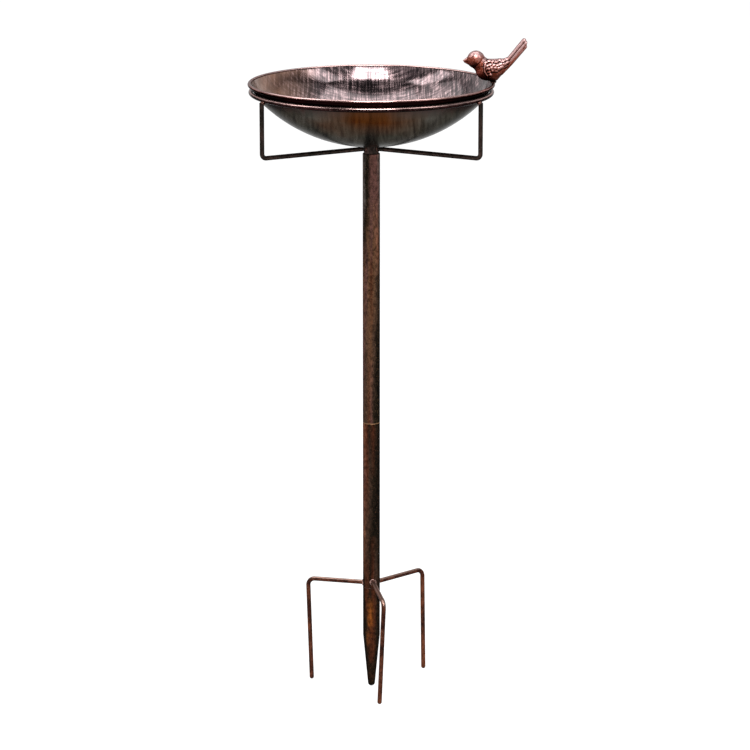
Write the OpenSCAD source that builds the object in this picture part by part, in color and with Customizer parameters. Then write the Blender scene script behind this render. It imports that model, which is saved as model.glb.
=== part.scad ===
// Garden bird bath: a sheet-metal bowl with a cast bird on its rim, lifted out of a wire
// cradle that plugs into a two-section post. The post's pointed foot and three prongs go
// into the ground. The origin is on the post's axis at ground level, +Z is up, and the
// bird stands on the +X side, facing the middle of the bowl.

/* [Bowl] */
// Outside diameter of the bowl over its rolled rim
bowl_d = 268; // [240:1:300]
// Height of the bowl from its underside to the middle of the rolled rim
bowl_depth = 67.5; // [60:0.5:75]
// Thickness of the bowl's sheet
bowl_wall = 1; // [0.8:0.1:1.5]
// Diameter of the rolled rim
rim_roll_d = 4; // [3:0.5:6]
// Radius of the knuckle that turns the dish up into its rim
knuckle_r = 47; // [40:1:50]
// Steepness of the wall just under the rim, in degrees from the horizontal
rim_slope = 72; // [66:1:75]

/* [Cradle] */
// Diameter of the rod that the ring, the arms and the prongs are bent from
rod_d = 5; // [4.5:0.5:6]
// Drop from the middle of the rolled rim to the middle of the support ring
ring_drop = 8.5; // [7.5:0.5:11]
// Room between the bowl's underside and the arms
bowl_gap = 0.5; // [0.5:0.5:4]
// Distance that a cradle arm's upright stands outside the middle of the ring
arm_out = 4; // [2.6:0.1:4.2]
// Bend radius of a cradle arm, to the middle of the rod
arm_bend_r = 5; // [4:0.5:12]
// Turn of the first cradle arm about the post, from +X
arm_turn = 90; // [60:1:120]
// Length of hub that shows between the post and the arms
neck_h = 3; // [2:0.5:8]
// Length of the hub's spigot inside the post
hub_spigot_h = 30; // [20:1:40]

/* [Post] */
// Outside diameter of both post tubes
tube_d = 19; // [18:0.5:22]
// Wall thickness of both post tubes
tube_wall = 1.5; // [1.2:0.1:2]
// Length of the lower tube above the ground
lower_tube_h = 190; // [150:1:250]
// Length of the upper tube
upper_tube_h = 302.5; // [250:0.5:400]
// Length of the joint spigot inside each tube
joint_half_h = 40; // [25:1:50]

/* [Stake] */
// Length of the stake's parallel part below the ground
stake_straight_h = 56; // [45:1:80]
// Length of the whole stake below the ground
stake_h = 117; // [105:1:150]
// Radius of the stake's rounded tip
tip_r = 4; // [2:0.5:5]

/* [Prongs] */
// Reach of a prong from the post's axis to the middle of its upright
prong_reach = 76; // [50:1:100]
// Depth of a level prong below the ground
prong_h = 115; // [80:0.5:125]
// Bend radius of a prong, to the middle of the rod
prong_bend_r = 8; // [5:0.5:15]
// Turn of the first prong about the post, from +X
prong_turn = -79.5; // [-119:0.5:0]

/* [Bird] */
// Length of the bird from its beak to its tail
bird_l = 70; // [60:0.5:80]
// Radius of the bird's breast, on a bird 67.3 mm long
breast_r = 11.5; // [10:0.5:13]
// Radius of the bird's head, on a bird 67.3 mm long
head_r = 9.6; // [8.5:0.1:11]
// Width of the bird's tail, on a bird 67.3 mm long
tail_w = 13; // [8:0.5:16]

/* [Hidden] */

$fn = 96;
hull_fn = 28;
arms = 3;
prongs = 3;

// Post
tube_r = tube_d / 2;
bore_r = tube_r - tube_wall;
spigot_fit = 0.05;
spigot_r = bore_r - spigot_fit;
spigot_wall = 1.5;
end_bevel = 0.4;
post_top = lower_tube_h + upper_tube_h;

// Cradle: the neck is a little wider than the bore, so it stands on the post's end
rod_r = rod_d / 2;
neck_r = bore_r + 0.2;
arm_z = post_top + neck_h + rod_r;
hub_top = arm_z + rod_r - 0.5;

// Bowl: a spherical dish, then a knuckle that is tangent to it, then the rolled rim, whose
// inside stands a little proud of the wall
bowl_bottom = arm_z + rod_r + bowl_gap;
roll_r = rim_roll_d / 2;
rim_r = bowl_d / 2 - roll_r;
rim_z = bowl_bottom + bowl_depth;
roll_proud = 0.15;
roll_from_knuckle = knuckle_r - bowl_wall + roll_r - roll_proud;
knuckle_x = rim_r - roll_from_knuckle * sin(rim_slope);
knuckle_z = rim_z + roll_from_knuckle * cos(rim_slope);
knuckle_up = knuckle_z - bowl_bottom;
dish_r = (knuckle_x ^ 2 + knuckle_up ^ 2 - knuckle_r ^ 2) / (2 * (knuckle_up - knuckle_r));
dish_z = bowl_bottom + dish_r;
knuckle_slope = asin(knuckle_x / (dish_r - knuckle_r));
dish_steps = 40;
knuckle_steps = 14;

// Support ring: it clears the outside of the knuckle by the seat gap
seat_gap = 0.3;
ring_z = rim_z - ring_drop;
ring_from_knuckle = knuckle_r + rod_r + seat_gap;
ring_r = knuckle_x + sqrt(ring_from_knuckle ^ 2 - (knuckle_z - ring_z) ^ 2);
ring_seam_turn = 150;
ring_seam_w = 3;
ring_seam_angle = ring_seam_w / ring_r * 180 / PI;
arm_reach = ring_r + arm_out;
arm_top = ring_z - sqrt(rod_r ^ 2 - (arm_out - rod_r) ^ 2) - 0.2;
ring_seam_proud = 0.2;

// Prongs: their welds stay above the ground, so the stake below is bare. They are welded by
// hand: the front one is a little higher, and each droops and twists by a few degrees
weld_leg = 1.4;
prong_z = rod_r + weld_leg + 0.2;
prong_lift = [3.3, 0, 0];
prong_droop = [3.6, -1, 1.9];
prong_twist = [-1.7, 0, 0];

// Stake: the side of the point is tangent to the rounded tip
tip_z = tip_r - stake_h;
point_h = -stake_straight_h - tip_z;
point_angle = acos(tip_r / norm([tube_r, point_h])) - atan2(point_h, tube_r);
stake_spigot_h = 25;
tip_steps = 8;

// Bird: it sits on a small patch of braze on top of the rolled rim
braze_h = 0.5;
braze_r = 4;
bird_z = rim_z + roll_r + braze_h;
bird_size = bird_l / 67.3;
tail_tip_r = 1.8;

copper_brown = "#5b3a30";
dark_brown = "#35231f";
bright_copper = "#a86a5c";
weld_brown = "#3a2a26";

// Points along an arc about `centre`, between two angles from straight down
function arc(centre, r, from, to, steps) = [
    for (i = [0 : steps])
        let (a = from + (to - from) * i / steps)
            centre + r * [sin(a), -cos(a)]
];

// A round rod that runs along +X from `start`, then bends straight down, to end `drop` lower.
// The middle of its upright is at `reach`
module bent_rod(start, reach, bend_r, drop, end_r = 0) {
    translate([start, 0, 0])
        rotate([0, 90, 0])
            cylinder(r = rod_r, h = reach - bend_r - start);
    translate([reach - bend_r, 0, -bend_r])
        rotate([90, 0, 0])
            rotate_extrude(angle = 90)
                translate([bend_r, 0])
                    circle(rod_r);
    translate([reach, 0, -drop]) {
        cylinder(r = rod_r, h = drop - bend_r);
        if (end_r > 0)
            sphere(end_r);
    }
}

module tube(length) {
    rotate_extrude()
        polygon([
            [bore_r, 0], [tube_r - end_bevel, 0], [tube_r, end_bevel],
            [tube_r, length - end_bevel], [tube_r - end_bevel, length], [bore_r, length]
        ]);
}

module bowl() {
    dish = [0, dish_z];
    knuckle = [knuckle_x, knuckle_z];
    inner_dish_r = dish_r - bowl_wall;
    inner_knuckle_r = knuckle_r - bowl_wall;
    color(copper_brown)
        rotate_extrude() {
            polygon(concat(
                arc(dish, dish_r, 0, knuckle_slope, dish_steps),
                arc(knuckle, knuckle_r, knuckle_slope + 1, rim_slope, knuckle_steps),
                arc(knuckle, inner_knuckle_r, rim_slope, knuckle_slope + 1, knuckle_steps),
                arc(dish, inner_dish_r, knuckle_slope, 0, dish_steps)
            ));
            translate([rim_r, rim_z])
                circle(roll_r);
        }
}

// A ball of the bird, placed in its middle plane or to one side of it
module ball(x, z, r, y = 0) {
    translate([x, y, z])
        sphere(r, $fn = hull_fn);
}

module bird_body() {
    // Breast, belly, rump and the foot that meets the rim
    hull() {
        ball(-7.5, breast_r + 0.8, breast_r);
        ball(1.5, 13.4, 9.8);
        ball(13.2, 19.3, 4.9);
        ball(-2.5, 5.5, 5.5);
        ball(0.8, 5.5, 5.5);
    }
    // Neck
    hull() {
        ball(-18.2, 23, head_r - 2);
        ball(-11, 15.5, 8.6);
    }
    ball(-18.2, 23, head_r);
    // Beak
    hull() {
        ball(-25, 22, 3.6);
        ball(-31.5, 21.4, 0.7);
    }
}

module bird_tail() {
    root_y = tail_w / 4;
    tip_y = tail_w / 2 - tail_tip_r;
    // Upper and lower feathers
    hull() {
        for (side = [-1, 1]) {
            ball(13.8, 20.2, 3.4, side * root_y);
            ball(32.6, 42.9, tail_tip_r + 0.7, side * (tip_y - 1.5));
        }
    }
    hull() {
        for (side = [-1, 1]) {
            ball(14.5, 17.6, 4.2, side * root_y);
            ball(33, 40.4, tail_tip_r, side * tip_y);
            ball(30.6, 33.6, tail_tip_r, side * tip_y);
        }
    }
}

module bird_wing() {
    // Shoulder and long feathers of one wing
    hull() {
        ball(-5.5, 15, 5, 7);
        ball(4, 15.5, 4.5, 6.2);
        ball(13, 20.8, 2, 4.5);
    }
    hull() {
        ball(2, 19, 3.5, 5);
        ball(13, 21.8, 1.8, 4);
        ball(19, 25.5, 1.5, 3);
    }
}

module bird() {
    color(bright_copper)
        translate([rim_r, 0, bird_z])
            scale(bird_size)
                difference() {
                    union() {
                        bird_body();
                        bird_tail();
                        for (side = [0, 1])
                            mirror([0, side, 0])
                                bird_wing();
                    }
                    translate([-2 * tail_w, -tail_w, -tail_w])
                        cube([4 * tail_w, 2 * tail_w, tail_w]);
                }
}

module bird_braze() {
    color(weld_brown)
        difference() {
            translate([rim_r, 0, rim_z + roll_r - braze_h])
                cylinder(r = braze_r, h = 2 * braze_h);
            translate([0, 0, rim_z])
                rotate_extrude()
                    translate([rim_r, 0])
                        circle(roll_r);
        }
}

// A stretch of the ring, from one turn about the post and through an angle
module ring_arc(from, angle, r) {
    translate([0, 0, ring_z])
        rotate([0, 0, from])
            rotate_extrude(angle = angle)
                translate([ring_r, 0])
                    circle(r);
}

module support_ring() {
    color(copper_brown)
        ring_arc(ring_seam_turn + ring_seam_angle / 2, 360 - ring_seam_angle, rod_r);
}

module ring_seam_weld() {
    color(weld_brown)
        ring_arc(ring_seam_turn - ring_seam_angle / 2, ring_seam_angle, rod_r + ring_seam_proud);
}

// The rods start on the round face of the neck or the post, so their ends are coped to it
module cradle_arm(i) {
    color(dark_brown)
        rotate([0, 0, arm_turn + i * 360 / arms])
            difference() {
                translate([0, 0, arm_z])
                    rotate([180, 0, 0])
                        bent_rod(neck_r / 2, arm_reach, arm_bend_r, arm_top - arm_z);
                cylinder(r = neck_r, h = 2 * arm_z);
            }
}

// One weld at the top of each arm, in the corner between the arm and the ring
module arm_ring_welds() {
    color(weld_brown)
        for (i = [0 : arms - 1])
            rotate([0, 0, arm_turn + i * 360 / arms])
                difference() {
                    translate([arm_reach - arm_out / 4, 0, arm_top])
                        sphere(rod_r + 1);
                    translate([arm_reach, 0, arm_top - 2 * rod_d])
                        cylinder(r = rod_r, h = 2 * rod_d);
                    rotate([0, 0, -arm_turn - i * 360 / arms])
                        translate([0, 0, ring_z])
                            rotate_extrude()
                                translate([ring_r, 0])
                                    circle(rod_r);
                }
}

module cradle_hub() {
    color(dark_brown)
        rotate_extrude()
            polygon([
                [0, hub_top], [neck_r, hub_top], [neck_r, post_top], [spigot_r, post_top],
                [spigot_r, post_top - hub_spigot_h + end_bevel],
                [spigot_r - end_bevel, post_top - hub_spigot_h],
                [spigot_r - spigot_wall, post_top - hub_spigot_h],
                [spigot_r - spigot_wall, hub_top - 2 * spigot_wall],
                [0, hub_top - 2 * spigot_wall]
            ]);
}

// A fillet of weld metal round a rod's end, on the round face of radius r that it stands on.
// The rod droops by an angle
module rod_weld(r, z, droop = 0) {
    sink = 1.5;
    difference() {
        translate([r, 0, z])
            rotate([0, 90 + droop, 0])
                rotate_extrude()
                    polygon([
                        [rod_r, -sink], [rod_r + weld_leg, -sink],
                        [rod_r + weld_leg, -0.3], [rod_r + weld_leg / 2, weld_leg / 2],
                        [rod_r, weld_leg]
                    ]);
        cylinder(r = r, h = 2 * z);
    }
}

module hub_welds() {
    color(weld_brown)
        for (i = [0 : arms - 1])
            rotate([0, 0, arm_turn + i * 360 / arms])
                difference() {
                    rod_weld(neck_r, arm_z);
                    translate([0, -rod_d, hub_top])
                        cube([2 * rod_d + neck_r, 2 * rod_d, rod_d]);
                }
}

module upper_tube() {
    color(copper_brown)
        translate([0, 0, lower_tube_h])
            tube(upper_tube_h);
}

module joint_spigot() {
    color(dark_brown)
        translate([0, 0, lower_tube_h - joint_half_h])
            rotate_extrude()
                polygon([
                    [spigot_r - spigot_wall, 0],
                    [spigot_r, 0],
                    [spigot_r, 2 * joint_half_h - 2 * end_bevel],
                    [spigot_r - end_bevel, 2 * joint_half_h],
                    [spigot_r - spigot_wall, 2 * joint_half_h]
                ]);
}

module lower_tube() {
    color(copper_brown)
        tube(lower_tube_h);
}

// The spigot that holds the point in the tube, the parallel part, the cone and the tip
module stake_point() {
    color(copper_brown)
        rotate_extrude()
            polygon(concat(
                [
                    [0, stake_spigot_h], [spigot_r, stake_spigot_h], [spigot_r, 0],
                    [tube_r - end_bevel, 0], [tube_r, -end_bevel], [tube_r, -stake_straight_h]
                ],
                arc([0, tip_z], tip_r, 90 - point_angle, 0, tip_steps)
            ));
}

// The weld in the groove between the lower tube and the point
module stake_weld() {
    groove_r = tube_r - end_bevel;
    color(weld_brown)
        rotate_extrude()
            intersection() {
                translate([groove_r, 0])
                    circle(end_bevel * 1.3);
                polygon([[groove_r, 0], [groove_r + 1, -1], [groove_r + 1, 1]]);
            }
}

// The prong turns about the middle of its weld
module prong(i) {
    color(copper_brown)
        rotate([0, 0, prong_turn + i * 360 / prongs])
            difference() {
                translate([tube_r, 0, prong_z + prong_lift[i]])
                    rotate([prong_twist[i], prong_droop[i], 0])
                        translate([-tube_r, 0, 0])
                            bent_rod(tube_r / 2, prong_reach, prong_bend_r,
                                     prong_z + prong_h - rod_r, rod_r);
                translate([0, 0, -rod_d])
                    cylinder(r = tube_r, h = 2 * prong_z + 3 * rod_d);
            }
}

module prong_welds() {
    color(weld_brown)
        for (i = [0 : prongs - 1])
            rotate([0, 0, prong_turn + i * 360 / prongs])
                rod_weld(tube_r, prong_z + prong_lift[i], prong_droop[i]);
}

bowl();
bird();
bird_braze();
support_ring();
ring_seam_weld();
cradle_arm(0);  // cradle_arm_rear
cradle_arm(1);  // cradle_arm_left
cradle_arm(2);  // cradle_arm_right
arm_ring_welds();
cradle_hub();
hub_welds();
upper_tube();
joint_spigot();
lower_tube();
stake_point();
stake_weld();
prong(0);  // prong_front
prong(1);  // prong_right
prong(2);  // prong_left
prong_welds();
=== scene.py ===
import math

import bmesh
import bpy
import numpy as np
from mathutils import Matrix, Vector, noise
from mathutils.bvhtree import BVHTree


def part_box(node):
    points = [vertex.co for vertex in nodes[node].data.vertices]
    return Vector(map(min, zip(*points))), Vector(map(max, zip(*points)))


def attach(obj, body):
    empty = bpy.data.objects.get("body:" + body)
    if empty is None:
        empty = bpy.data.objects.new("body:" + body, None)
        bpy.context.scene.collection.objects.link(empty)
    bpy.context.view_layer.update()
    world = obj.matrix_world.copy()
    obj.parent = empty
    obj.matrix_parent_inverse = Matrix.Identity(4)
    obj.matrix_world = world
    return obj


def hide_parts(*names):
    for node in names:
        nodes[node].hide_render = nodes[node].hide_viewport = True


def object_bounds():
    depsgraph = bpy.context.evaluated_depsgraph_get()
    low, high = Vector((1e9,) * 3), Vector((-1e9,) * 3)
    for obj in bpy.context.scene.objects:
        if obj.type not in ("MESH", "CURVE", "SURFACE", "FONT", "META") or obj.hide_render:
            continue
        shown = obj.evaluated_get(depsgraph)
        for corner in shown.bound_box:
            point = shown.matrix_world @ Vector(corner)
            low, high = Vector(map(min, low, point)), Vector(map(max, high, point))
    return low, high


# A copper-coloured bird bath: a spun bowl with a cast bird on its rim, in a cradle of bent rods
# on a two-part post with three ground prongs. Metres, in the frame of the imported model.
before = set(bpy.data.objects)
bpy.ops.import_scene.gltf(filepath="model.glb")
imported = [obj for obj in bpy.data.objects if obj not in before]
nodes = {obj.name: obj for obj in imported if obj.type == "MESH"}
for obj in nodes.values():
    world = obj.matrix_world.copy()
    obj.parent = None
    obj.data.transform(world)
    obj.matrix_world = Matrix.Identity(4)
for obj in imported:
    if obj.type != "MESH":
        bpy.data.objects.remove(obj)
cad_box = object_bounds()

MM = 0.001

# ---------------------------------------------------------------- sizes read from the frame


def span(node, axis):
    """Lowest and highest value of a CAD node along one axis, 0 for X to 2 for Z."""
    low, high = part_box(node)
    return low[axis], high[axis]


def root_of(node, r):
    """The angle and height at which a rod's end meets an upright round face of radius r."""
    ends = [v.co for v in nodes[node].data.vertices if v.co.xy.length < r + 0.5 * MM]
    middle = Vector([(min(c) + max(c)) / 2 for c in zip(*ends)])
    return math.atan2(middle.y, middle.x), middle.z


TUBE_R = span("upper_tube", 0)[1]
JOINT_Z = span("upper_tube", 2)[0]
POST_TOP = span("upper_tube", 2)[1]
STAKE_TIP = span("stake_point", 2)[0]
ROD_R = (span("support_ring", 2)[1] - span("support_ring", 2)[0]) / 2
RING_Z = sum(span("support_ring", 2)) / 2
RING_R = span("support_ring", 0)[1] - ROD_R
NECK_R = span("cradle_hub", 0)[1]
ARM_REACH = span("cradle_arm_rear", 1)[1] - ROD_R
ARM_TOP = span("cradle_arm_rear", 2)[1]
BOWL_LOW, BOWL_TOP = span("bowl", 2)
BOWL_R = span("bowl", 0)[1]
BIRD_FOOT = span("bird", 2)[0]
BIRD_LENGTH = 67.3  # from beak to tail, in the bird's own units
BIRD_UNIT = (span("bird", 0)[1] - span("bird", 0)[0]) / BIRD_LENGTH
FLOOR_Z = cad_box[0].z

# Sizes that the CAD nodes have and their boxes don't tell
STAKE_TAPER_Z = -56 * MM
WALL = 1 * MM
ROLL_R = 2 * MM  # the rolled rim
KNUCKLE_R = 47 * MM  # the bend between the dish and its wall
RIM_SLOPE = math.radians(72)
RIM_R = BOWL_R - ROLL_R
RIM_Z = BOWL_TOP - ROLL_R

# ---------------------------------------------------------------- mesh helpers


def new_object(name, mesh):
    """A smooth-shaded object in the scene."""
    for polygon in mesh.polygons:
        polygon.use_smooth = True
    made = bpy.data.objects.new(name, mesh)
    bpy.context.scene.collection.objects.link(made)
    return made


def mesh_from(name, vertices, faces):
    """A mesh from lists of vertices and faces."""
    mesh = bpy.data.meshes.new(name)
    mesh.from_pydata(vertices, [], faces)
    mesh.update()
    return mesh


def mesh_of(name, bm):
    """A mesh from a bmesh, which is freed."""
    mesh = bpy.data.meshes.new(name)
    bm.to_mesh(mesh)
    bm.free()
    return mesh


def turns(count):
    """Angles spread evenly round a full circle."""
    return [2 * math.pi * i / count for i in range(count)]


def dress(made, body, materials, replaced):
    """Gives a new piece its materials and its body, and hides the CAD node that it stands for."""
    for material in materials:
        made.data.materials.append(material)
    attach(made, body)
    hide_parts(replaced)


def tube_faces(rings):
    """Faces between rings of equal length, the last of which joins the first."""
    count = len(rings[0])
    faces = []
    for i in range(len(rings)):
        here = i * count
        there = (i + 1) % len(rings) * count
        for j in range(count):
            k = (j + 1) % count
            faces.append((here + j, here + k, there + k, there + j))
    return faces


def bead(name, path, radius, around=16):
    """A closed bead of weld metal along a closed path. radius(t) is its radius, t from 0 to 1."""
    count = len(path)
    rings = []
    for i, point in enumerate(path):
        along = (path[(i + 1) % count] - path[i - 1]).normalized()
        side = along.cross(Vector((0, 0, 1)))
        if side.length < 0.2:
            side = along.cross(Vector((1, 0, 0)))
        side.normalize()
        up = side.cross(along)
        r = radius(i / count)
        rings.append([point + r * (math.cos(a) * side + math.sin(a) * up)
                      for a in turns(around)])
    vertices = [v for ring in rings for v in ring]
    return mesh_from(name, vertices, tube_faces(rings))


def joined(name, meshes):
    """One mesh from several."""
    bm = bmesh.new()
    for mesh in meshes:
        bm.from_mesh(mesh)
    bmesh.ops.recalc_face_normals(bm, faces=bm.faces)
    return mesh_of(name, bm)


def cast_together(mesh, voxel, smooth_steps):
    """Fuses overlapping shells into one skin and rounds their meeting lines."""
    made = new_object("casting", mesh)
    remesh = made.modifiers.new("skin", "REMESH")
    remesh.mode = "VOXEL"
    remesh.voxel_size = voxel
    smooth = made.modifiers.new("rounding", "SMOOTH")
    smooth.iterations = smooth_steps
    bpy.context.view_layer.update()
    graph = bpy.context.evaluated_depsgraph_get()
    skin = bpy.data.meshes.new_from_object(made.evaluated_get(graph))
    bpy.data.objects.remove(made)
    return skin


def arrays(mesh):
    """Vertex places, vertex normals and edges of a mesh as arrays."""
    count = len(mesh.vertices)
    places = np.zeros(count * 3)
    normals = np.zeros(count * 3)
    edges = np.zeros(len(mesh.edges) * 2, int)
    mesh.vertices.foreach_get("co", places)
    mesh.vertices.foreach_get("normal", normals)
    mesh.edges.foreach_get("vertices", edges)
    return places.reshape(-1, 3), normals.reshape(-1, 3), edges.reshape(-1, 2)


def neighbour_mean(values, edges):
    """Each vertex's mean over its neighbours."""
    total = np.zeros_like(values)
    count = np.zeros(len(values))
    for a, b in ((0, 1), (1, 0)):
        np.add.at(total, edges[:, a], values[edges[:, b]])
        np.add.at(count, edges[:, a], 1)
    count = np.maximum(count, 1)
    return total / (count[:, None] if values.ndim > 1 else count)


def store_ridges(mesh, steps=3):
    """Stores how far each vertex stands out of its surroundings, 0 in gaps and 1 on ridges."""
    places, normals, edges = arrays(mesh)
    around = places
    for _ in range(steps):
        around = neighbour_mean(around, edges)
    out = neighbour_mean(((places - around) * normals).sum(1), edges)
    most = np.percentile(np.abs(out), 90)
    level = np.clip(0.5 + 0.5 * out / most, 0, 1)
    attribute = mesh.attributes.new("ridge", "FLOAT", "POINT")
    attribute.data.foreach_set("value", level.astype(np.float32))


def move_to(mesh, places):
    """Puts the mesh's vertices at new places."""
    mesh.vertices.foreach_set("co", places.ravel())
    mesh.update()


def roughen(mesh, amount, scale):
    """Moves the vertices along their normals by a fixed noise, for the grain of cast metal."""
    places, normals, _ = arrays(mesh)
    moves = np.array([noise.noise(Vector(p) * scale) for p in places])
    move_to(mesh, places + normals * (moves * amount)[:, None])


# ---------------------------------------------------------------- material helpers


def set_stops(color_ramp, stops):
    """Gives a colour ramp its stops: (place, colour), or (place, level) for a grey."""
    elements = color_ramp.elements
    while len(elements) < len(stops):
        elements.new(1.0)
    for element, (at, value) in zip(elements, stops):
        element.position = at
        element.color = (*value, 1) if isinstance(value, tuple) else (value,) * 3 + (1,)


class Shader:
    """A material's node tree, with one short call for each kind of node."""

    def __init__(self, name):
        self.material = bpy.data.materials.new(name)
        self.material.use_nodes = True
        self.tree = self.material.node_tree
        self.tree.nodes.clear()
        coordinates = self.add("ShaderNodeTexCoord")
        self.place = coordinates.outputs["Object"]
        self.surface = coordinates.outputs["Normal"]

    def add(self, kind, **inputs):
        """A node with its inputs fed by name, _ for a space."""
        node = self.tree.nodes.new(kind)
        for name, value in inputs.items():
            self.feed(node.inputs[name.replace("_", " ")], value)
        return node

    def feed(self, socket, value):
        """Links a socket to an output, or sets its plain value."""
        if isinstance(value, bpy.types.NodeSocket):
            self.tree.links.new(value, socket)
        elif isinstance(value, tuple) and len(value) == 3 and len(socket.default_value) == 4:
            socket.default_value = (*value, 1)
        else:
            socket.default_value = value

    def stretched(self, scale, turn=(0, 0, 0)):
        """The object's coordinates scaled along each axis and turned."""
        return self.add("ShaderNodeMapping", Vector=self.place, Scale=scale,
                        Rotation=turn).outputs["Vector"]

    def noise(self, scale=1.0, vector=None, detail=4.0, roughness=0.6):
        return self.add("ShaderNodeTexNoise", Vector=vector or self.place, Scale=scale,
                        Detail=detail, Roughness=roughness).outputs["Fac"]

    def ramp(self, level, *stops):
        """A colour ramp from (place, colour) stops, or a level ramp from (place, value) stops."""
        node = self.add("ShaderNodeValToRGB", Fac=level)
        set_stops(node.color_ramp, stops)
        return node.outputs["Color"]

    def mix(self, level, low, high):
        """A blend from the low colour to the high one."""
        node = self.add("ShaderNodeMix")
        node.data_type = "RGBA"
        for name, value in (("Factor", level), ("A", low), ("B", high)):
            kind = "VALUE" if name == "Factor" else "RGBA"
            socket = next(s for s in node.inputs if s.name == name and s.type == kind)
            self.feed(socket, value)
        return next(s for s in node.outputs if s.type == "RGBA")

    def tint(self, colour, level):
        """The colour multiplied by a level."""
        node = self.add("ShaderNodeVectorMath")
        node.operation = "MULTIPLY"
        self.feed(node.inputs[0], colour)
        self.feed(node.inputs[1], level)
        return node.outputs["Vector"]

    def math(self, how, first, second=0.0, clamp=False):
        node = self.add("ShaderNodeMath")
        node.operation = how
        node.use_clamp = clamp
        self.feed(node.inputs[0], first)
        self.feed(node.inputs[1], second)
        return node.outputs["Value"]

    def part_of(self, vector, axis):
        return self.add("ShaderNodeSeparateXYZ", Vector=vector).outputs[axis]

    def ridge(self):
        """The level that store_ridges left on the mesh."""
        node = self.add("ShaderNodeAttribute")
        node.attribute_name = "ridge"
        return node.outputs["Fac"]

    def bump(self, height, distance, strength=1.0):
        return self.add("ShaderNodeBump", Height=height, Distance=distance,
                        Strength=strength).outputs["Normal"]

    def facing_up(self):
        """1 where the surface faces up, 0.5 where it stands upright and 0 where it faces down."""
        return self.math("ADD", self.math("MULTIPLY", self.part_of(self.surface, "Z"), 0.5), 0.5)

    def height_in_bowl(self):
        """0 at the bowl's underside and 1 at its rim."""
        low = self.math("SUBTRACT", self.part_of(self.place, "Z"), BOWL_LOW)
        return self.math("DIVIDE", low, BOWL_TOP - BOWL_LOW)

    def shaken(self, level, noise, amount):
        """The level moved up and down by a noise."""
        return self.math("ADD", level, self.math("MULTIPLY", self.math(
            "SUBTRACT", noise, 0.5), amount))

    def finish(self, colour, roughness, metallic, normal, coat=0.0, coat_roughness=0.2, edge=1.0):
        """The finished material. edge is how strongly it reflects at a grazing angle."""
        surface = self.add("ShaderNodeBsdfPrincipled")
        self.feed(surface.inputs["Base Color"], colour)
        self.feed(surface.inputs["Roughness"], roughness)
        self.feed(surface.inputs["Metallic"], metallic)
        self.feed(surface.inputs["Normal"], normal)
        surface.inputs["Coat Weight"].default_value = coat
        surface.inputs["Coat Roughness"].default_value = coat_roughness
        surface.inputs["Specular Tint"].default_value = (edge, edge, edge, 1)
        output = self.add("ShaderNodeOutputMaterial")
        self.tree.links.new(surface.outputs["BSDF"], output.inputs["Surface"])
        return self.material


# ---------------------------------------------------------------- materials

# The post's tones, for its patina and for its painted stripes of reflection and shade
GOLDEN = (0.30, 0.17, 0.09)
REFLECTION_GREY = (0.085, 0.070, 0.062)
SHADE_DARK = (0.012, 0.008, 0.005)
SHADE_DARKEST = (0.006, 0.0045, 0.003)
UMBER = (0.092, 0.041, 0.034)
BRONZE = (0.095, 0.045, 0.023)
OCHRE = (0.048, 0.027, 0.018)
BRICK = (0.058, 0.017, 0.008)
COPPER = (0.165, 0.068, 0.040)
RUST = (0.19, 0.054, 0.010)
# The bowl's inside: bare ground, thin copper, full copper, and the painted warm reflection on the
# left
INSIDE_GROUND = (0.040, 0.028, 0.030)
INSIDE_THIN = (0.17, 0.118, 0.122)
INSIDE_FULL = (0.60, 0.43, 0.435)
INSIDE_TAN_REFLECTION = (0.25, 0.115, 0.062)
# The bowl's outside: two olives, a painted warm glow at the front and back, and the painted shade
# under the rim
OLIVE_DARK = (0.066, 0.065, 0.057)
OLIVE = (0.086, 0.079, 0.070)
PAINTED_GLOW_TONE = (0.064, 0.023, 0.007)
RIM_PAINTED_SHADE = (0.020, 0.006, 0.006)
STRIP_PAINTED_SHADE = (0.008, 0.002, 0.002)
# The rolled rim from its underside to its top: painted shade below, copper with a painted highlight
# on top
RIM_SHADE_TO_HIGHLIGHT = ((0.36, (0.006, 0.0015, 0.0018)), (0.56, (0.030, 0.009, 0.008)),
             (0.72, (0.26, 0.14, 0.125)), (0.86, (0.62, 0.42, 0.40)))
# The bird's gaps, faces and ridges, and its upper side, lighter with wear and a painted highlight
BIRD_GAP = (0.016, 0.004, 0.003)
BIRD_FACE = (0.23, 0.046, 0.022)
BIRD_RIDGE = (0.42, 0.20, 0.17)
BIRD_WORN_AND_LIT = (0.44, 0.29, 0.285)
# Weld metal, without its ripples, and the spigot's steel
WELD_GAP = (0.008, 0.005, 0.004)
WELD_FACE = (0.026, 0.012, 0.010)
STEEL_DARK = (0.22, 0.21, 0.2)
STEEL = (0.42, 0.41, 0.4)

POST_CONTRAST = 0.8
POST_ROUGHNESS = 0.3
BIRD_ROUGHNESS = 0.3
FLOOR_GLOW = 0.93


def speckled(s, colour, copper, contrast):
    """Breaks a ground colour into darker and lighter mottles, with fine flecks of copper."""
    coarse = s.noise(330, s.stretched((1, 1, 0.6)), detail=4, roughness=0.7)
    flecks = s.noise(1150, detail=2, roughness=0.6)
    low, high = 1 - 0.7 * contrast, 1 + 0.7 * contrast
    colour = s.tint(colour, s.ramp(coarse, (0.36, low), (0.5, 1.0), (0.64, high)))
    speck = s.ramp(flecks, (0.62, 0.0), (0.72, 0.7))
    colour = s.mix(s.math("MULTIPLY", speck, contrast), colour, copper)
    pits = s.ramp(flecks, (0.33, 0.25), (0.42, 1.0))
    return s.tint(colour, pits), s.math("ADD", coarse, s.math("MULTIPLY", flecks, 0.6))


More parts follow.
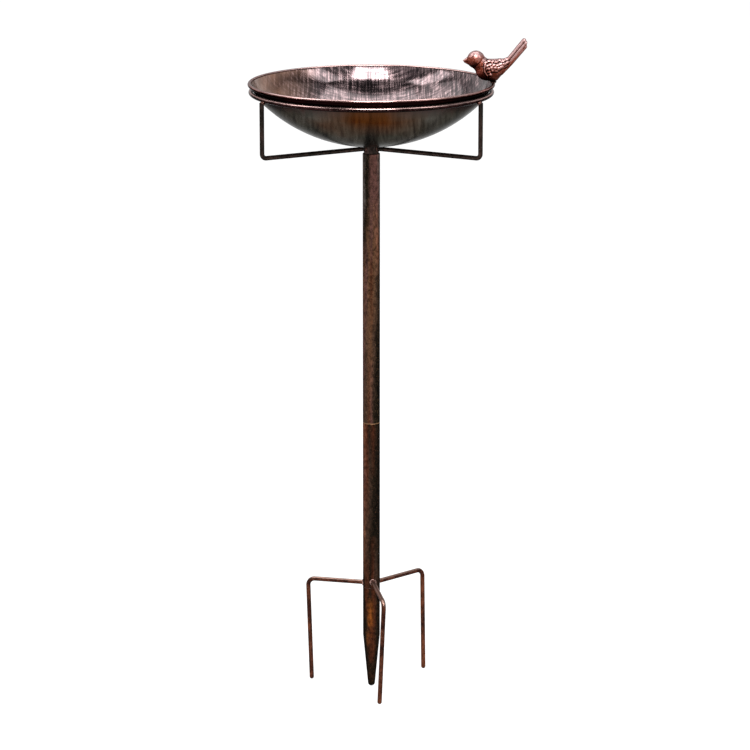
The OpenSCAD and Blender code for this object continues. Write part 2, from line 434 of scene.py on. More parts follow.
def edge_wear_and_highlight(s, colour, edges):
    """Rubs the paint through to a golden tone at each (height, half width) along Z: worn edges that
    are also a painted highlight.
    """
    height = s.part_of(s.place, "Z")
    for at, half in edges:
        away = s.math("ABSOLUTE", s.math("SUBTRACT", height, at))
        near = s.math("SUBTRACT", 1.0, s.math("DIVIDE", away, half), clamp=True)
        colour = s.mix(s.math("MULTIPLY", near, 0.9), colour, GOLDEN)
    return colour


def post_paint(name, copper, bands, edges=()):
    """Antique paint on the post, with painted stripes of reflection and shade down it. bands are
    (height, tones across the post from -X to +X): the tones across are painted reflections and
    shade, and their change with height is patina.
    """
    s = Shader(name)
    streaks = s.noise(210, s.stretched((1, 1, 0.16)), detail=5, roughness=0.65)
    cloud = s.noise(26, detail=4, roughness=0.6)
    # Place across the post, which sets the painted stripes of reflection and shade
    across = s.math("ADD", s.math("DIVIDE", s.part_of(s.place, "X"), 2 * TUBE_R), 0.5)
    across = s.shaken(across, streaks, 0.36)
    height = s.shaken(s.part_of(s.place, "Z"), cloud, 120 * MM)
    colour = None
    for i, (at, tones) in enumerate(bands):
        steps = len(tones) - 1
        layer = s.ramp(across, *[(0.03 + 0.94 * j / steps, t) for j, t in enumerate(tones)])
        if i > 0:
            low = bands[i - 1][0]
            part = s.math("DIVIDE", s.math("SUBTRACT", height, low), at - low, clamp=True)
            layer = s.mix(part, colour, layer)
        colour = layer
    colour, grain = speckled(s, colour, copper, POST_CONTRAST)
    # Golden ends at the joint: wear and a painted highlight
    colour = edge_wear_and_highlight(s, colour, edges)
    sheen = s.ramp(streaks, (0.35, POST_ROUGHNESS - 0.08), (0.65, POST_ROUGHNESS + 0.1))
    return s.finish(colour, sheen, 0.95, s.bump(grain, 0.16 * MM, 0.6), edge=0.35)


def rod_paint(name, dark, body, copper, rub_and_highlight=(0.66, 0.9), contrast=0.7, roughness=0.3):
    """A rod's paint in two tones, darker underneath as painted shade, with copper on its upper side
    that is worn through and also a painted highlight.
    """
    s = Shader(name)
    patches = s.noise(95, s.stretched((1, 1, 0.5)), detail=5, roughness=0.62)
    colour = s.ramp(patches, (0.40, dark), (0.60, body))
    colour, grain = speckled(s, colour, tuple(0.8 * c for c in copper), contrast)
    up = s.facing_up()
    # Painted shade: the underside is darkened
    colour = s.tint(colour, s.ramp(up, (0.12, 0.3), (0.5, 1.0)))
    # Copper on the upper side: wear and a painted highlight
    colour = s.mix(s.ramp(s.shaken(up, patches, 0.3), (rub_and_highlight[0], 0.0), (rub_and_highlight[1], 0.9)),
                   colour, copper)
    return s.finish(colour, roughness, 0.95, s.bump(grain, 0.13 * MM, 0.5), edge=0.4)


def inside_paint(name):
    """The bowl's inside: strokes of greyish copper brushed over near-black, glossy, with a painted
    warm reflection on the left and painted shade on the steep wall.
    """
    s = Shader(name)
    fine = s.noise(1, s.stretched((760, 46, 36)), detail=4, roughness=0.6)
    broad = s.noise(1, s.stretched((230, 24, 22), (0, 0, 0.05)), detail=3, roughness=0.55)
    across = s.noise(1, s.stretched((40, 520, 170)), detail=4, roughness=0.6)
    cloud = s.noise(30, detail=4, roughness=0.6)
    level = 0.5
    for part, share in ((fine, 0.44), (broad, 0.14), (across, 0.30), (cloud, 0.22)):
        level = s.shaken(level, part, share)
    # Painted shade: the steep wall is painted darker than the dish, with fewer copper strokes there
    wall = s.ramp(s.height_in_bowl(), (0.28, 0.0), (0.5, 0.04))
    level = s.math("SUBTRACT", level, wall)
    colour = s.ramp(level, (0.41, INSIDE_GROUND), (0.49, INSIDE_THIN), (0.60, INSIDE_FULL))
    # Painted reflection: a warm tan over the left part of the bowl
    left = s.ramp(s.math("MULTIPLY", s.part_of(s.place, "X"), -1.0), (0.060, 0.0), (0.1, 0.95))
    colour = s.mix(s.math("MULTIPLY", left, s.ramp(cloud, (0.35, 0.5), (0.65, 1.0))),
                   colour, INSIDE_TAN_REFLECTION)
    height = s.math("ADD", fine, s.math("MULTIPLY", across, 0.5))
    sheen = s.ramp(level, (0.42, 0.15), (0.57, 0.21))
    metal = s.ramp(level, (0.42, 0.96), (0.57, 0.75))
    return s.finish(colour, sheen, metal, s.bump(height, 0.05 * MM, 0.3), coat=0.5,
                    coat_roughness=0.1, edge=0.6)


def outside_paint(name):
    """The bowl's outside: dark olive brown with a painted warm glow at the front and back, and
    painted shade under the rim.
    """
    s = Shader(name)
    strokes = s.noise(1, s.stretched((230, 20, 24)), detail=4, roughness=0.6)
    cloud = s.noise(17, detail=3, roughness=0.5)
    # Painted glow: an orange-brown patch on the upper part of the front and back
    turn = s.shaken(s.math("DIVIDE", s.part_of(s.place, "X"), BOWL_R), cloud, 0.45)
    painted_glow = s.ramp(s.math("ABSOLUTE", turn), (0.14, 1.0), (0.46, 0.0))
    height = s.height_in_bowl()
    high = s.ramp(s.shaken(height, cloud, 0.3), (0.32, 0.0), (0.62, 1.0))
    ground = s.ramp(cloud, (0.38, OLIVE_DARK), (0.62, OLIVE))
    colour = s.mix(s.math("MULTIPLY", painted_glow, high), ground, PAINTED_GLOW_TONE)
    # Painted shade under the rim, lighter where the painted glow is
    shade_under_rim = s.ramp(s.shaken(height, strokes, 0.25), (0.66, 0.0), (0.84, 0.9))
    shade_under_rim = s.math("MULTIPLY", shade_under_rim, s.math(
        "SUBTRACT", 1.0, s.math("MULTIPLY", painted_glow, 0.55)))
    colour = s.mix(shade_under_rim, colour, RIM_PAINTED_SHADE)
    # Painted shade: the strip between the support ring and the rim is darkest
    colour = s.mix(s.ramp(height, (0.865, 0.0), (0.895, 1.0)), colour, STRIP_PAINTED_SHADE)
    colour = s.tint(colour, s.ramp(strokes, (0.38, 0.7), (0.62, 1.25)))
    return s.finish(colour, s.ramp(cloud, (0.3, 0.2), (0.7, 0.3)), 0.95,
                    s.bump(strokes, 0.03 * MM, 0.3), edge=0.3)


def rim_paint(name):
    """The rolled rim: copper worn through on top with a painted highlight there, and dark maroon
    below as painted shade.
    """
    s = Shader(name)
    strokes = s.noise(1, s.stretched((140, 140, 600)), detail=4, roughness=0.6)
    # Painted shade below and a painted highlight on top, by which way the surface faces
    colour = s.ramp(s.shaken(s.facing_up(), strokes, 0.35), *RIM_SHADE_TO_HIGHLIGHT)
    return s.finish(colour, 0.2, 1.0, s.bump(strokes, 0.05 * MM, 0.4), edge=0.3)


def cast_copper(name):
    """The bird's cast metal: its gaps stay dark and its ridges are worn bright; its upper side is
    lighter with a painted highlight and its underside darker with painted shade.
    """
    s = Shader(name)
    mottle = s.noise(420, detail=4, roughness=0.6)
    cloud = s.noise(110, detail=3)
    mixed = s.shaken(s.shaken(s.ridge(), mottle, 0.55), cloud, 0.7)
    colour = s.ramp(mixed, (0.28, BIRD_GAP), (0.54, BIRD_FACE), (1.0, BIRD_RIDGE))
    up = s.facing_up()
    # The back and the tail get more wear and painted highlight than the breast
    back = s.math("DIVIDE", s.math("SUBTRACT", s.part_of(s.place, "X"), RIM_R), 35 * BIRD_UNIT)
    high = s.math("ADD", up, s.ramp(back, (0.05, 0.0), (0.6, 0.2)))
    # Wear and a painted highlight where the surface faces up
    worn_and_lit = s.math("MULTIPLY", s.ramp(s.shaken(high, cloud, 0.3), (0.6, 0.0), (0.84, 0.85)),
                    s.ramp(mixed, (0.3, 0.0), (0.5, 1.0)))
    colour = s.mix(worn_and_lit, colour, BIRD_WORN_AND_LIT)
    # Painted shade: the underside is darkened
    colour = s.tint(colour, s.ramp(up, (0.18, 0.10), (0.5, 1.0)))
    sheen = s.ramp(mixed, (0.2, BIRD_ROUGHNESS + 0.15), (0.8, BIRD_ROUGHNESS))
    return s.finish(colour, sheen, 0.97, s.bump(mottle, 0.12 * MM, 0.45), edge=0.5)


def scaled_weld(name, bright):
    """Dark, burnt weld metal whose ripples are bright; on the prong welds the bright ripples are
    painted glints.
    """
    s = Shader(name)
    mottle = s.noise(1100, detail=4, roughness=0.7)
    mixed = s.math("ADD", s.math("MULTIPLY", s.ridge(), 0.6), s.math("MULTIPLY", mottle, 0.5))
    colour = s.ramp(mixed, (0.3, WELD_GAP), (0.6, WELD_FACE), (0.85, bright))
    return s.finish(colour, 0.3, 0.9, s.bump(mottle, 0.12 * MM, 0.6), edge=0.4)


def bare_steel(name):
    """Zinc-grey steel with fine turning marks round its axis."""
    s = Shader(name)
    rings = s.noise(1, s.stretched((40, 40, 3200)), detail=3)
    cloud = s.noise(300, detail=3)
    colour = s.ramp(cloud, (0.35, STEEL_DARK), (0.65, STEEL))
    return s.finish(colour, s.ramp(rings, (0.3, 0.28), (0.7, 0.46)), 1.0,
                    s.bump(rings, 0.03 * MM, 0.5))


def plain_white(name):
    """The floor's bright, even white, most of which is its own glow."""
    s = Shader(name)
    made = s.finish((0.2, 0.2, 0.2), 0.9, 0.0, s.bump(s.noise(40), 0.01 * MM, 0.1))
    surface = next(n for n in s.tree.nodes if n.type == "BSDF_PRINCIPLED")
    surface.inputs["Emission Color"].default_value = (1, 1, 1, 1)
    surface.inputs["Emission Strength"].default_value = FLOOR_GLOW
    return made


# The tones across each tube and the stake are painted stripes of reflection and shade
upper_paint = post_paint(
    "upper_tube_patina_and_painted_reflections", (0.30, 0.17, 0.085),
    bands=((JOINT_Z, (OCHRE, OCHRE, BRICK, UMBER, SHADE_DARK, SHADE_DARKEST, SHADE_DARKEST)),
           (JOINT_Z + 0.28 * (POST_TOP - JOINT_Z),
            (UMBER, OCHRE, BRONZE, BRONZE, OCHRE, SHADE_DARKEST, SHADE_DARK)),
           (JOINT_Z + 0.55 * (POST_TOP - JOINT_Z),
            (BRONZE, UMBER, BRONZE, BRICK, BRONZE, OCHRE, SHADE_DARK)),
           (POST_TOP - 100 * MM, (OCHRE, SHADE_DARK, BRONZE, UMBER, BRONZE, COPPER, SHADE_DARK)),
           (POST_TOP - 50 * MM, (REFLECTION_GREY, SHADE_DARKEST, SHADE_DARK, UMBER, UMBER, UMBER, REFLECTION_GREY))),
    edges=((JOINT_Z + 0.4 * MM, 0.9 * MM),))
lower_paint = post_paint(
    "lower_tube_patina_and_painted_reflections", (0.20, 0.09, 0.05),
    bands=((0.0, (SHADE_DARK, BRICK, SHADE_DARKEST, BRICK, OCHRE, SHADE_DARK)),
           (0.3 * JOINT_Z, (COPPER, OCHRE, SHADE_DARK, SHADE_DARKEST, SHADE_DARKEST, SHADE_DARKEST)),
           (0.7 * JOINT_Z, (UMBER, BRICK, OCHRE, SHADE_DARK, SHADE_DARKEST, SHADE_DARKEST)),
           (JOINT_Z - 10 * MM, (COPPER, BRICK, SHADE_DARK, BRICK, SHADE_DARK, SHADE_DARKEST))),
    edges=((JOINT_Z, 0.4 * MM),))
stake_paint = post_paint(
    "stake_patina_and_painted_reflections", (0.22, 0.08, 0.022),
    bands=((STAKE_TIP, (SHADE_DARKEST, SHADE_DARKEST, SHADE_DARK, SHADE_DARK, SHADE_DARKEST)),
           (STAKE_TAPER_Z - 32 * MM, (SHADE_DARKEST, SHADE_DARKEST, BRICK, SHADE_DARKEST, SHADE_DARKEST)),
           (STAKE_TAPER_Z - 6 * MM, (SHADE_DARKEST, SHADE_DARK, BRICK, BRICK, SHADE_DARK, SHADE_DARKEST)),
           (STAKE_TAPER_Z + 12 * MM, (SHADE_DARKEST, SHADE_DARK, RUST, RUST, BRICK, SHADE_DARK, SHADE_DARKEST)),
           (0.0, (SHADE_DARKEST, BRICK, SHADE_DARK, BRICK, SHADE_DARK, SHADE_DARKEST))))
ring_paint = rod_paint(
    "ring_patina_and_painted_light", (0.007, 0.002, 0.002), (0.024, 0.007, 0.007), (0.62, 0.41, 0.38),
    rub_and_highlight=(0.64, 0.84), contrast=0.5, roughness=0.2)
prong_paint = rod_paint(
    "prong_patina_and_painted_light", (0.032, 0.010, 0.007), (0.115, 0.036, 0.018), (0.34, 0.21, 0.17))
arm_paint = rod_paint(
    "arm_patina_and_painted_light", (0.015, 0.012, 0.010), (0.045, 0.027, 0.023), (0.07, 0.05, 0.045))
bowl_inside = inside_paint("bowl_inside_brushed_and_painted_light")
bowl_outside = outside_paint("bowl_outside_patina_and_painted_light")
rim_copper_and_painted_light = rim_paint("rim_copper_and_painted_light")
bird_copper = cast_copper("bird_cast_copper_and_painted_light")
weld_metal = scaled_weld("weld_scale", (0.10, 0.05, 0.04))
# Painted glints: the prong welds' bright ripples
prong_weld_glint_metal = scaled_weld("prong_weld_scale_and_glints", (0.46, 0.28, 0.24))
steel = bare_steel("spigot_steel")

# ---------------------------------------------------------------- CAD nodes that stay


def paint(material, *names):
    """Gives CAD nodes a new material in every slot."""
    for name in names:
        data = nodes[name].data
        for i in range(max(1, len(data.materials))):
            if len(data.materials) > i:
                data.materials[i] = material
            else:
                data.materials.append(material)


paint(upper_paint, "upper_tube")
paint(lower_paint, "lower_tube")
paint(stake_paint, "stake_point")
paint(ring_paint, "support_ring")
paint(prong_paint, "prong_front", "prong_right", "prong_left")
paint(arm_paint, "cradle_arm_rear", "cradle_arm_left", "cradle_arm_right", "cradle_hub")
paint(steel, "joint_spigot")

# ---------------------------------------------------------------- bowl


def arc(centre, r, start, end, steps):
    """Points (radius, height) along an arc, with angles from straight down."""
    angles = (start + (end - start) * i / steps for i in range(steps + 1))
    return [(centre[0] + r * math.sin(a), centre[1] - r * math.cos(a)) for a in angles]


OUTSIDE, ROLL, INSIDE = range(3)  # the bowl's material slots


def sheet_wave(a, r):
    """How far, in mm, the sheet stands off its true shape at an angle and a radius."""
    return 0.10 * math.sin(3 * a + 0.7) + 0.06 * math.sin(7 * a + 2.0 + 30 * r)


def bowl_profile():
    """The sheet's outline from its underside, round the rolled rim, to its inside, in parts."""
    from_knuckle = KNUCKLE_R - WALL + ROLL_R - 0.15 * MM
    knuckle = (RIM_R - from_knuckle * math.sin(RIM_SLOPE),
               RIM_Z + from_knuckle * math.cos(RIM_SLOPE))
    up = knuckle[1] - BOWL_LOW
    dish_r = (knuckle[0] ** 2 + up ** 2 - KNUCKLE_R ** 2) / (2 * (up - KNUCKLE_R))
    dish = (0.0, BOWL_LOW + dish_r)
    slope = math.asin(knuckle[0] / (dish_r - KNUCKLE_R))
    outside = arc(dish, dish_r, 0, slope, 60)[:-1]
    outside += arc(knuckle, KNUCKLE_R, slope, RIM_SLOPE - math.radians(1.2), 22)
    roll = arc((RIM_R, RIM_Z), ROLL_R, math.radians(-4), math.radians(248), 26)
    inside = arc(knuckle, KNUCKLE_R - WALL, RIM_SLOPE + math.radians(0.4), slope, 22)
    inside += arc(dish, dish_r - WALL, slope, 0, 60)[1:]
    return outside, roll, inside


def make_bowl():
    """The spun bowl with its rolled rim, its sheet a little wavy between middle and rim."""
    outside, roll, inside = bowl_profile()
    profile = outside + roll + inside
    around = 288
    vertices = [(0, 0, outside[0][1])]
    for r, z in profile[1:-1]:
        flat = 1 - (r / RIM_R) ** 8
        for a in turns(around):
            # Only upwards, so that the sheet stays clear of the ring below it
            lift = max(MM * flat * (r / RIM_R) * sheet_wave(a, r), 0)
            vertices.append((r * math.cos(a), r * math.sin(a), z + lift))
    vertices.append((0, 0, inside[-1][1]))
    last = len(vertices) - 1
    faces = []
    kinds = []
    rings = len(profile) - 2
    for i in range(rings - 1):
        here = 1 + i * around
        kind = INSIDE
        if i + 1 < len(outside):
            kind = OUTSIDE
        elif i + 2 < len(outside) + len(roll):
            kind = ROLL
        for j in range(around):
            k = (j + 1) % around
            faces.append((here + j, here + k, here + around + k, here + around + j))
            kinds.append(kind)
    top = 1 + (rings - 1) * around
    for j in range(around):
        k = (j + 1) % around
        faces += [(0, 1 + k, 1 + j), (last, top + j, top + k)]
        kinds += [OUTSIDE, INSIDE]
    mesh = mesh_from("bowl_spun", vertices, faces)
    dress(new_object("bowl_spun", mesh), "bowl",
          [bowl_outside, rim_copper_and_painted_light, bowl_inside], "bowl")
    for polygon, kind in zip(mesh.polygons, kinds):
        polygon.material_index = kind


make_bowl()

# ---------------------------------------------------------------- bird

BIRD_AT = Vector((RIM_R, 0, BIRD_FOOT))
TAIL_SLANT = math.radians(51)
BODY_VOXEL = 0.6 * MM
FEATHER_VOXEL = 0.36 * MM
FEATHER_ROWS = 7
FEATHER_WIDTH = 3.3  # in the bird's own units, like the other sizes of its parts


def hull(*balls):
    """The convex skin round balls given as (x, y, z, radius) in the bird's own units."""
    bm = bmesh.new()
    points = bmesh.new()
    bmesh.ops.create_icosphere(points, subdivisions=3, radius=1)
    for x, y, z, r in balls:
        for v in points.verts:
            bm.verts.new((Vector((x, y, z)) + v.co * r) * BIRD_UNIT + BIRD_AT)
    points.free()
    bmesh.ops.convex_hull(bm, input=bm.verts)
    bmesh.ops.delete(bm, geom=[v for v in bm.verts if not v.link_faces], context="VERTS")
    return mesh_of("hull", bm)


def petal(at, normal, back, length, width, thick):
    """One feather: a flattened ball whose rear end stands a little off the surface."""
    along = (back - normal * back.dot(normal)).normalized()
    lifted = (along + 0.16 * normal).normalized()
    side = normal.cross(lifted).normalized()
    up = lifted.cross(side)
    turn = Matrix((lifted, side, up)).transposed().to_4x4()
    size = Matrix.Diagonal((length / 2, width / 2, thick / 2, 1))
    bm = bmesh.new()
    bmesh.ops.create_icosphere(bm, subdivisions=3, radius=1,
                               matrix=Matrix.Translation(at) @ turn @ size)
    return mesh_of("petal", bm)


def bird_body():
    """Breast, neck, head, beak, eyes, brows and shoulders."""
    shells = [
        hull((-7.5, 0, 12.3, 11.3), (1.5, 0, 13.4, 9.6), (13.2, 0, 19.3, 4.8),
             (-2.5, 0, 5.5, 5.4), (0.8, 0, 5.5, 5.4)),
        hull((-18.2, 0, 23, 8.0), (-10.5, 0, 15.5, 9.2)),
        hull((-18.2, 0, 23, 9.4), (-18.4, 0, 22.8, 9.3)),
        # Upper and lower halves of the beak, with the mouth line between them
        hull((-24.6, 0, 23.0, 3.7), (-31.3, 0, 21.8, 0.7)),
        hull((-24.6, 0, 20.2, 3.2), (-30.3, 0, 20.2, 0.6)),
    ]
    for side in (-1, 1):
        shells += [
            hull((-22.6, 6.5 * side, 24.4, 1.25), (-22.8, 6.4 * side, 24.4, 1.25)),
            hull((-25, 4.2 * side, 26.4, 0.9), (-20.4, 6.6 * side, 27.2, 1.1)),
            hull((-6.5, 7 * side, 15, 5), (4, 6.4 * side, 15.5, 4.6), (13, 4.6 * side, 20.8, 2)),
        ]
    return shells


def on_tail(s, n, y, r):
    """A ball s along the tail's slant and n above its middle line."""
    x, z = math.cos(TAIL_SLANT), math.sin(TAIL_SLANT)
    return s * x - n * z, y, s * z + n * x, r


def bird_tail():
    """Long tail feathers in three layers, each narrower than the one below, with ribs."""
    shells = []
    for side in (-1, 0, 1):
        drop = 0.5 * abs(side)
        shells += [
            hull(on_tail(25, 2.2, 2.2 * side, 2.1), on_tail(53.8 - drop, 2.4, 3.1 * side, 1.9)),
            hull(on_tail(27, 4.0, 2.2 * side, 0.6), on_tail(53.2 - drop, 4.1, 3.0 * side, 0.5)),
            hull(on_tail(23, -0.6, 3.0 * side, 2.5), on_tail(53.0 - drop, -0.5, 4.9 * side, 1.5)),
            hull(on_tail(12, -0.3, 2.0 * side, 2.6), on_tail(26, -1.4, 2.6 * side, 2.6),
                 on_tail(49.5, -2.5, 4.4 * side, 1.8)),
        ]
    return shells


def on_bird(tree, x, z, side):
    """The place and normal where a sideways line at (x, z) meets one flank of the bird."""
    start = Vector((x, 40 * side, z)) * BIRD_UNIT + BIRD_AT
    hit, normal, _, _ = tree.ray_cast(start, Vector((0, -side, 0)))
    return hit, normal


def bird_feathers(skin):
    """Each wing's front edge, its rows of small feathers and its long ones."""
    tree = BVHTree.FromObject(skin, bpy.context.evaluated_depsgraph_get())
    shells = []
    front, tip = Vector((-6.6, 0, 14.2)), Vector((17.5, 0, 23.2))
    run = tip - front
    back = run.normalized()
    across = Vector((-back.z, 0, back.x))
    for side in (-1, 1):
        edge = [on_bird(tree, x, z, side)[0]
                for x, z in ((-6.2, 22.0), (-8.6, 19.6), (-9.6, 15.8), (-9.2, 11.4), (-6.8, 7.6))]
        edge = [(p - BIRD_AT) / BIRD_UNIT for p in edge if p is not None]
        for p, q in zip(edge, edge[1:]):
            shells.append(hull((p.x, p.y, p.z, 0.9), (q.x, q.y, q.z, 0.9)))
        for row in range(FEATHER_ROWS):
            # t is the row's place from the wing's front at 0 to its tip at 1
            t = 0.02 + 0.135 * row
            wing_width = 15.5 - 10.5 * t
            count = max(2, round(wing_width / 3.1))
            for i in range(count):
                shift = (i + 0.5 * (row % 2) - (count - 1) / 2) * FEATHER_WIDTH
                at = front + run * t + across * shift
                hit, normal = on_bird(tree, at.x, at.z, side)
                if hit is None or abs(hit.y) < 1.5 * MM:
                    continue
                length = (4.9 + 1.8 * t) * BIRD_UNIT
                shells.append(petal(hit + 0.15 * MM * normal, normal, back,
                                    length, FEATHER_WIDTH * BIRD_UNIT, 1.9 * BIRD_UNIT))
        # Three long feathers along the lower edge of each wing
        for i in range(3):
            shells.append(hull(
                (0.5 + 2.5 * i, (8.9 - 0.9 * i) * side, 11.2 + 2.2 * i, 1.2),
                (14.5 + 1.6 * i, (4.8 - 0.4 * i) * side, 17.6 + 2.3 * i, 0.9)))
    return shells


def make_bird():
    """The bird: a smooth body with its feathers laid on, in one skin that is flat at the foot."""
    base = new_object("base", cast_together(joined("base", bird_body() + bird_tail()),
                                            BODY_VOXEL, 2))
    bpy.context.view_layer.update()
    shells = [base.data] + bird_feathers(base)
    skin = cast_together(joined("bird_cast", shells), FEATHER_VOXEL, 1)
    bpy.data.objects.remove(base)
    places, _, _ = arrays(skin)
    places[:, 2] = np.maximum(places[:, 2], BIRD_FOOT)
    move_to(skin, places)
    roughen(skin, 0.08 * MM, 1 / (1.5 * MM))
    store_ridges(skin)
    dress(new_object("bird_cast", skin), "bowl", [bird_copper], "bird")


make_bird()

# ---------------------------------------------------------------- welds and braze


def ripples(size, count, depth, phase):
    """A bead's radius along its length, with the ripples that each weld pool leaves."""
    def radius(t):
        a = 2 * math.pi * t
        return size * (1 + depth * abs(math.sin(count * a / 2 + phase)) + 0.1 * math.sin(a + phase))
    return radius


def on_round(turn, r, z, off, steps=72):
    """The line round a rod, off its axis by off, on an upright round face of radius r."""
    points = []
    for a in turns(steps):
        across = off * math.cos(a)
        out = math.sqrt(r * r - across * across)
        points.append(Matrix.Rotation(turn, 3, "Z") @ Vector((out, across, z + off * math.sin(a))))
    return points


def blob(name, at, size, turn):
    """A lump of weld metal of the given size, turned about Z."""
    bm = bmesh.new()
    bmesh.ops.create_icosphere(bm, subdivisions=4, radius=1)
    for v in bm.verts:
        swell = 1 + 0.08 * math.sin(5 * v.co.x + 2) * math.sin(6 * v.co.z + turn)
        v.co = at + Matrix.Rotation(turn, 3, "Z") @ Vector(
            [c * swell * s for c, s in zip(v.co, size)])
    return mesh_of(name, bm)


def make_welds(name, meshes, body, replaced, metal=weld_metal):
    """One piece of weld metal from several beads or lumps."""
    mesh = joined(name, meshes)
    roughen(mesh, 0.12 * MM, 1 / (0.9 * MM))
    store_ridges(mesh)
    dress(new_object(name, mesh), body, [metal], replaced)


def root_beads(rods, r, off, size, count):
    """A bead round each rod's end, where it stands on an upright round face of radius r."""
    beads = []
    for i, rod in enumerate(rods):
        turn, height = root_of(rod, r)
        beads.append(bead(rod, on_round(turn, r, height, off), ripples(size, count, 0.2, i)))
    return beads


ARMS = [f"cradle_arm_{side}" for side in ("rear", "left", "right")]
PRONGS = [f"prong_{side}" for side in ("front", "right", "left")]

make_welds("prong_weld_beads", root_beads(PRONGS, TUBE_R, ROD_R + 0.3 * MM, 0.95 * MM, 11),
           "ground_section", "prong_welds", prong_weld_glint_metal)
make_welds("hub_weld_beads", root_beads(ARMS, NECK_R, ROD_R * 0.98, 0.75 * MM, 9),
           "cradle", "hub_welds")


def make_arm_welds():
    """A lump in the corner between each arm's top and the ring."""
    lumps = []
    for arm in ARMS:
        turn, _ = root_of(arm, NECK_R)
        out = Vector((math.cos(turn), math.sin(turn), 0))
        at = out * (ARM_REACH - 1.3 * MM) + Vector((0, 0, ARM_TOP - 0.3 * MM))
        lumps.append(blob(arm, at, (2.9 * MM, 3.0 * MM, 2.4 * MM), turn))
    make_welds("arm_weld_lumps", lumps, "cradle", "arm_ring_welds")


make_arm_welds()


def circle(r, z, steps=240):
    """Points round the post's axis."""
    return [Vector((r * math.cos(a), r * math.sin(a), z)) for a in turns(steps)]


make_welds("stake_weld_bead",
           [bead("stake", circle(TUBE_R - 0.45 * MM, 0), ripples(0.45 * MM, 60, 0.1, 0))],
           "ground_section", "stake_weld")


def make_seam():
    """The ring's seam: three rippled beads side by side round the rod."""
    low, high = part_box("ring_seam_weld")
    middle = (low + high) / 2
    turn = math.atan2(middle.y, middle.x)
    centre = Vector((RING_R * math.cos(turn), RING_R * math.sin(turn), RING_Z))
    out = Vector((math.cos(turn), math.sin(turn), 0))
    up = Vector((0, 0, 1))
    beads = []
    for i, shift in enumerate((-1.0, 0.0, 1.0)):
        at = centre + Vector((-out.y, out.x, 0)) * shift * MM
        path = [at + (ROD_R - 0.4 * MM) * (math.cos(a) * out + math.sin(a) * up)
                for a in turns(60)]
        beads.append(bead("seam", path, ripples(0.6 * MM, 7, 0.12, 1.7 * i)))
    make_welds("ring_seam_bead", beads, "cradle", "ring_seam_weld")


make_seam()


def make_braze():
    """The braze under the bird's foot: a puddle with a wavy edge that laps over the rim."""
    middle = Vector((RIM_R, 0, BOWL_TOP))
    bm = bmesh.new()
    bmesh.ops.create_icosphere(bm, subdivisions=5, radius=1)
    for v in bm.verts:
        a = math.atan2(v.co.y, v.co.x)
        edge = 1 + 0.07 * math.sin(5 * a + 0.4) + 0.05 * math.sin(9 * a)
        v.co = middle + Vector((v.co.x * 3.4 * edge, v.co.y * 6.0 * edge, v.co.z * 1.3)) * MM
    mesh = mesh_of("bird_braze_puddle", bm)
    roughen(mesh, 0.15 * MM, 1 / (1.1 * MM))
    store_ridges(mesh)
    dress(new_object("bird_braze_puddle", mesh), "bowl", [weld_metal], "bird_braze")


make_braze()

# ---------------------------------------------------------------- stage, light and camera

# Name, turn and height in degrees, then distance, width and tall in metres, and brightness
SOFTBOXES = (
    ("front_softbox", 2, 51, 2.0, 0.98, 1.25, 13.6),
    ("left_softbox", -84, 45, 2.2, 0.6, 1.6, 5.0),
    ("right_softbox", 64, 45, 2.2, 0.75, 1.5, 4.0),
    ("rear_softbox", 177, 71, 2.5, 2.1, 1.15, 3.9),
    ("left_rear_softbox", -128, 48, 2.5, 1.5, 1.3, 1.7),
    ("right_rear_softbox", 128, 48, 2.5, 1.5, 1.3, 0.6),
)
# The studio dome by height, 0 at the horizon and 1 overhead
DOME = ((0.28, (1.0, 1.0, 1.0)), (0.55, (0.3, 0.3, 0.31)), (0.9, (0.06, 0.06, 0.065)))

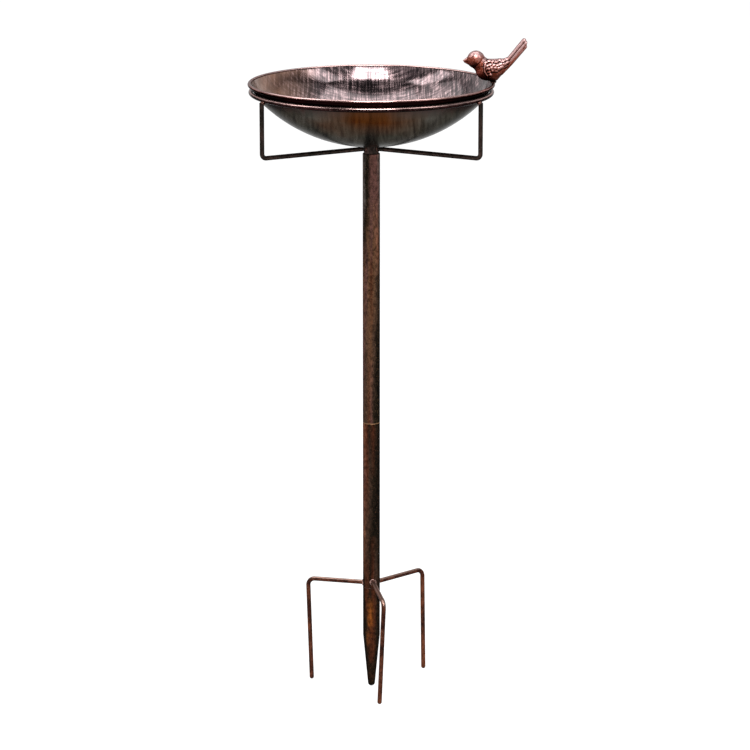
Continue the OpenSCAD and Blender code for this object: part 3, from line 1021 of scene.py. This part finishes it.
FLOOR_R = 40
CAMERA_AT = (0.004, -3.515, 1.0945)
CAMERA_PITCH = math.radians(90 - 13.6)
SENSOR_WIDTH = 36
LENS = 157


def make_floor():
    """The white floor under the stake's and the prongs' tips."""
    bm = bmesh.new()
    bmesh.ops.create_circle(bm, cap_ends=True, segments=96, radius=FLOOR_R)
    floor = new_object("floor", mesh_of("floor", bm))
    floor.location.z = FLOOR_Z
    floor.data.materials.append(plain_white("floor_white"))


def softbox(name, turn, height, distance, width, tall, brightness):
    """A soft light that faces the bowl, turned from the camera's side."""
    data = bpy.data.lights.new(name, "AREA")
    data.shape = "RECTANGLE"
    data.size = width
    data.size_y = tall
    data.energy = brightness * math.pi * width * tall
    light = bpy.data.objects.new(name, data)
    bpy.context.scene.collection.objects.link(light)
    a, e = math.radians(turn), math.radians(height)
    out = Vector((math.sin(a) * math.cos(e), -math.cos(a) * math.cos(e), math.sin(e)))
    light.location = Vector((0, 0, RIM_Z)) + out * distance
    light.rotation_euler = out.to_track_quat("Z", "Y").to_euler()
    light.visible_camera = False


def make_world():
    """A studio dome, white near the horizon and darker overhead."""
    world = bpy.data.worlds.new("studio")
    world.use_nodes = True
    bpy.context.scene.world = world
    tree = world.node_tree
    place = tree.nodes.new("ShaderNodeTexCoord")
    split = tree.nodes.new("ShaderNodeSeparateXYZ")
    ramp = tree.nodes.new("ShaderNodeValToRGB")
    tree.links.new(place.outputs["Generated"], split.inputs["Vector"])
    tree.links.new(split.outputs["Z"], ramp.inputs["Fac"])
    set_stops(ramp.color_ramp, DOME)
    background = tree.nodes["Background"]
    tree.links.new(ramp.outputs["Color"], background.inputs["Color"])


def make_camera():
    """The camera that shows the object as the photo does."""
    data = bpy.data.cameras.new("camera")
    data.sensor_width = SENSOR_WIDTH
    data.lens = LENS
    camera = bpy.data.objects.new("camera", data)
    bpy.context.scene.collection.objects.link(camera)
    camera.location = CAMERA_AT
    camera.rotation_euler = (CAMERA_PITCH, 0, 0)
    bpy.context.scene.camera = camera


make_floor()
make_world()
for box in SOFTBOXES:
    softbox(*box)
make_camera()
bpy.context.scene.view_settings.view_transform = "Standard"
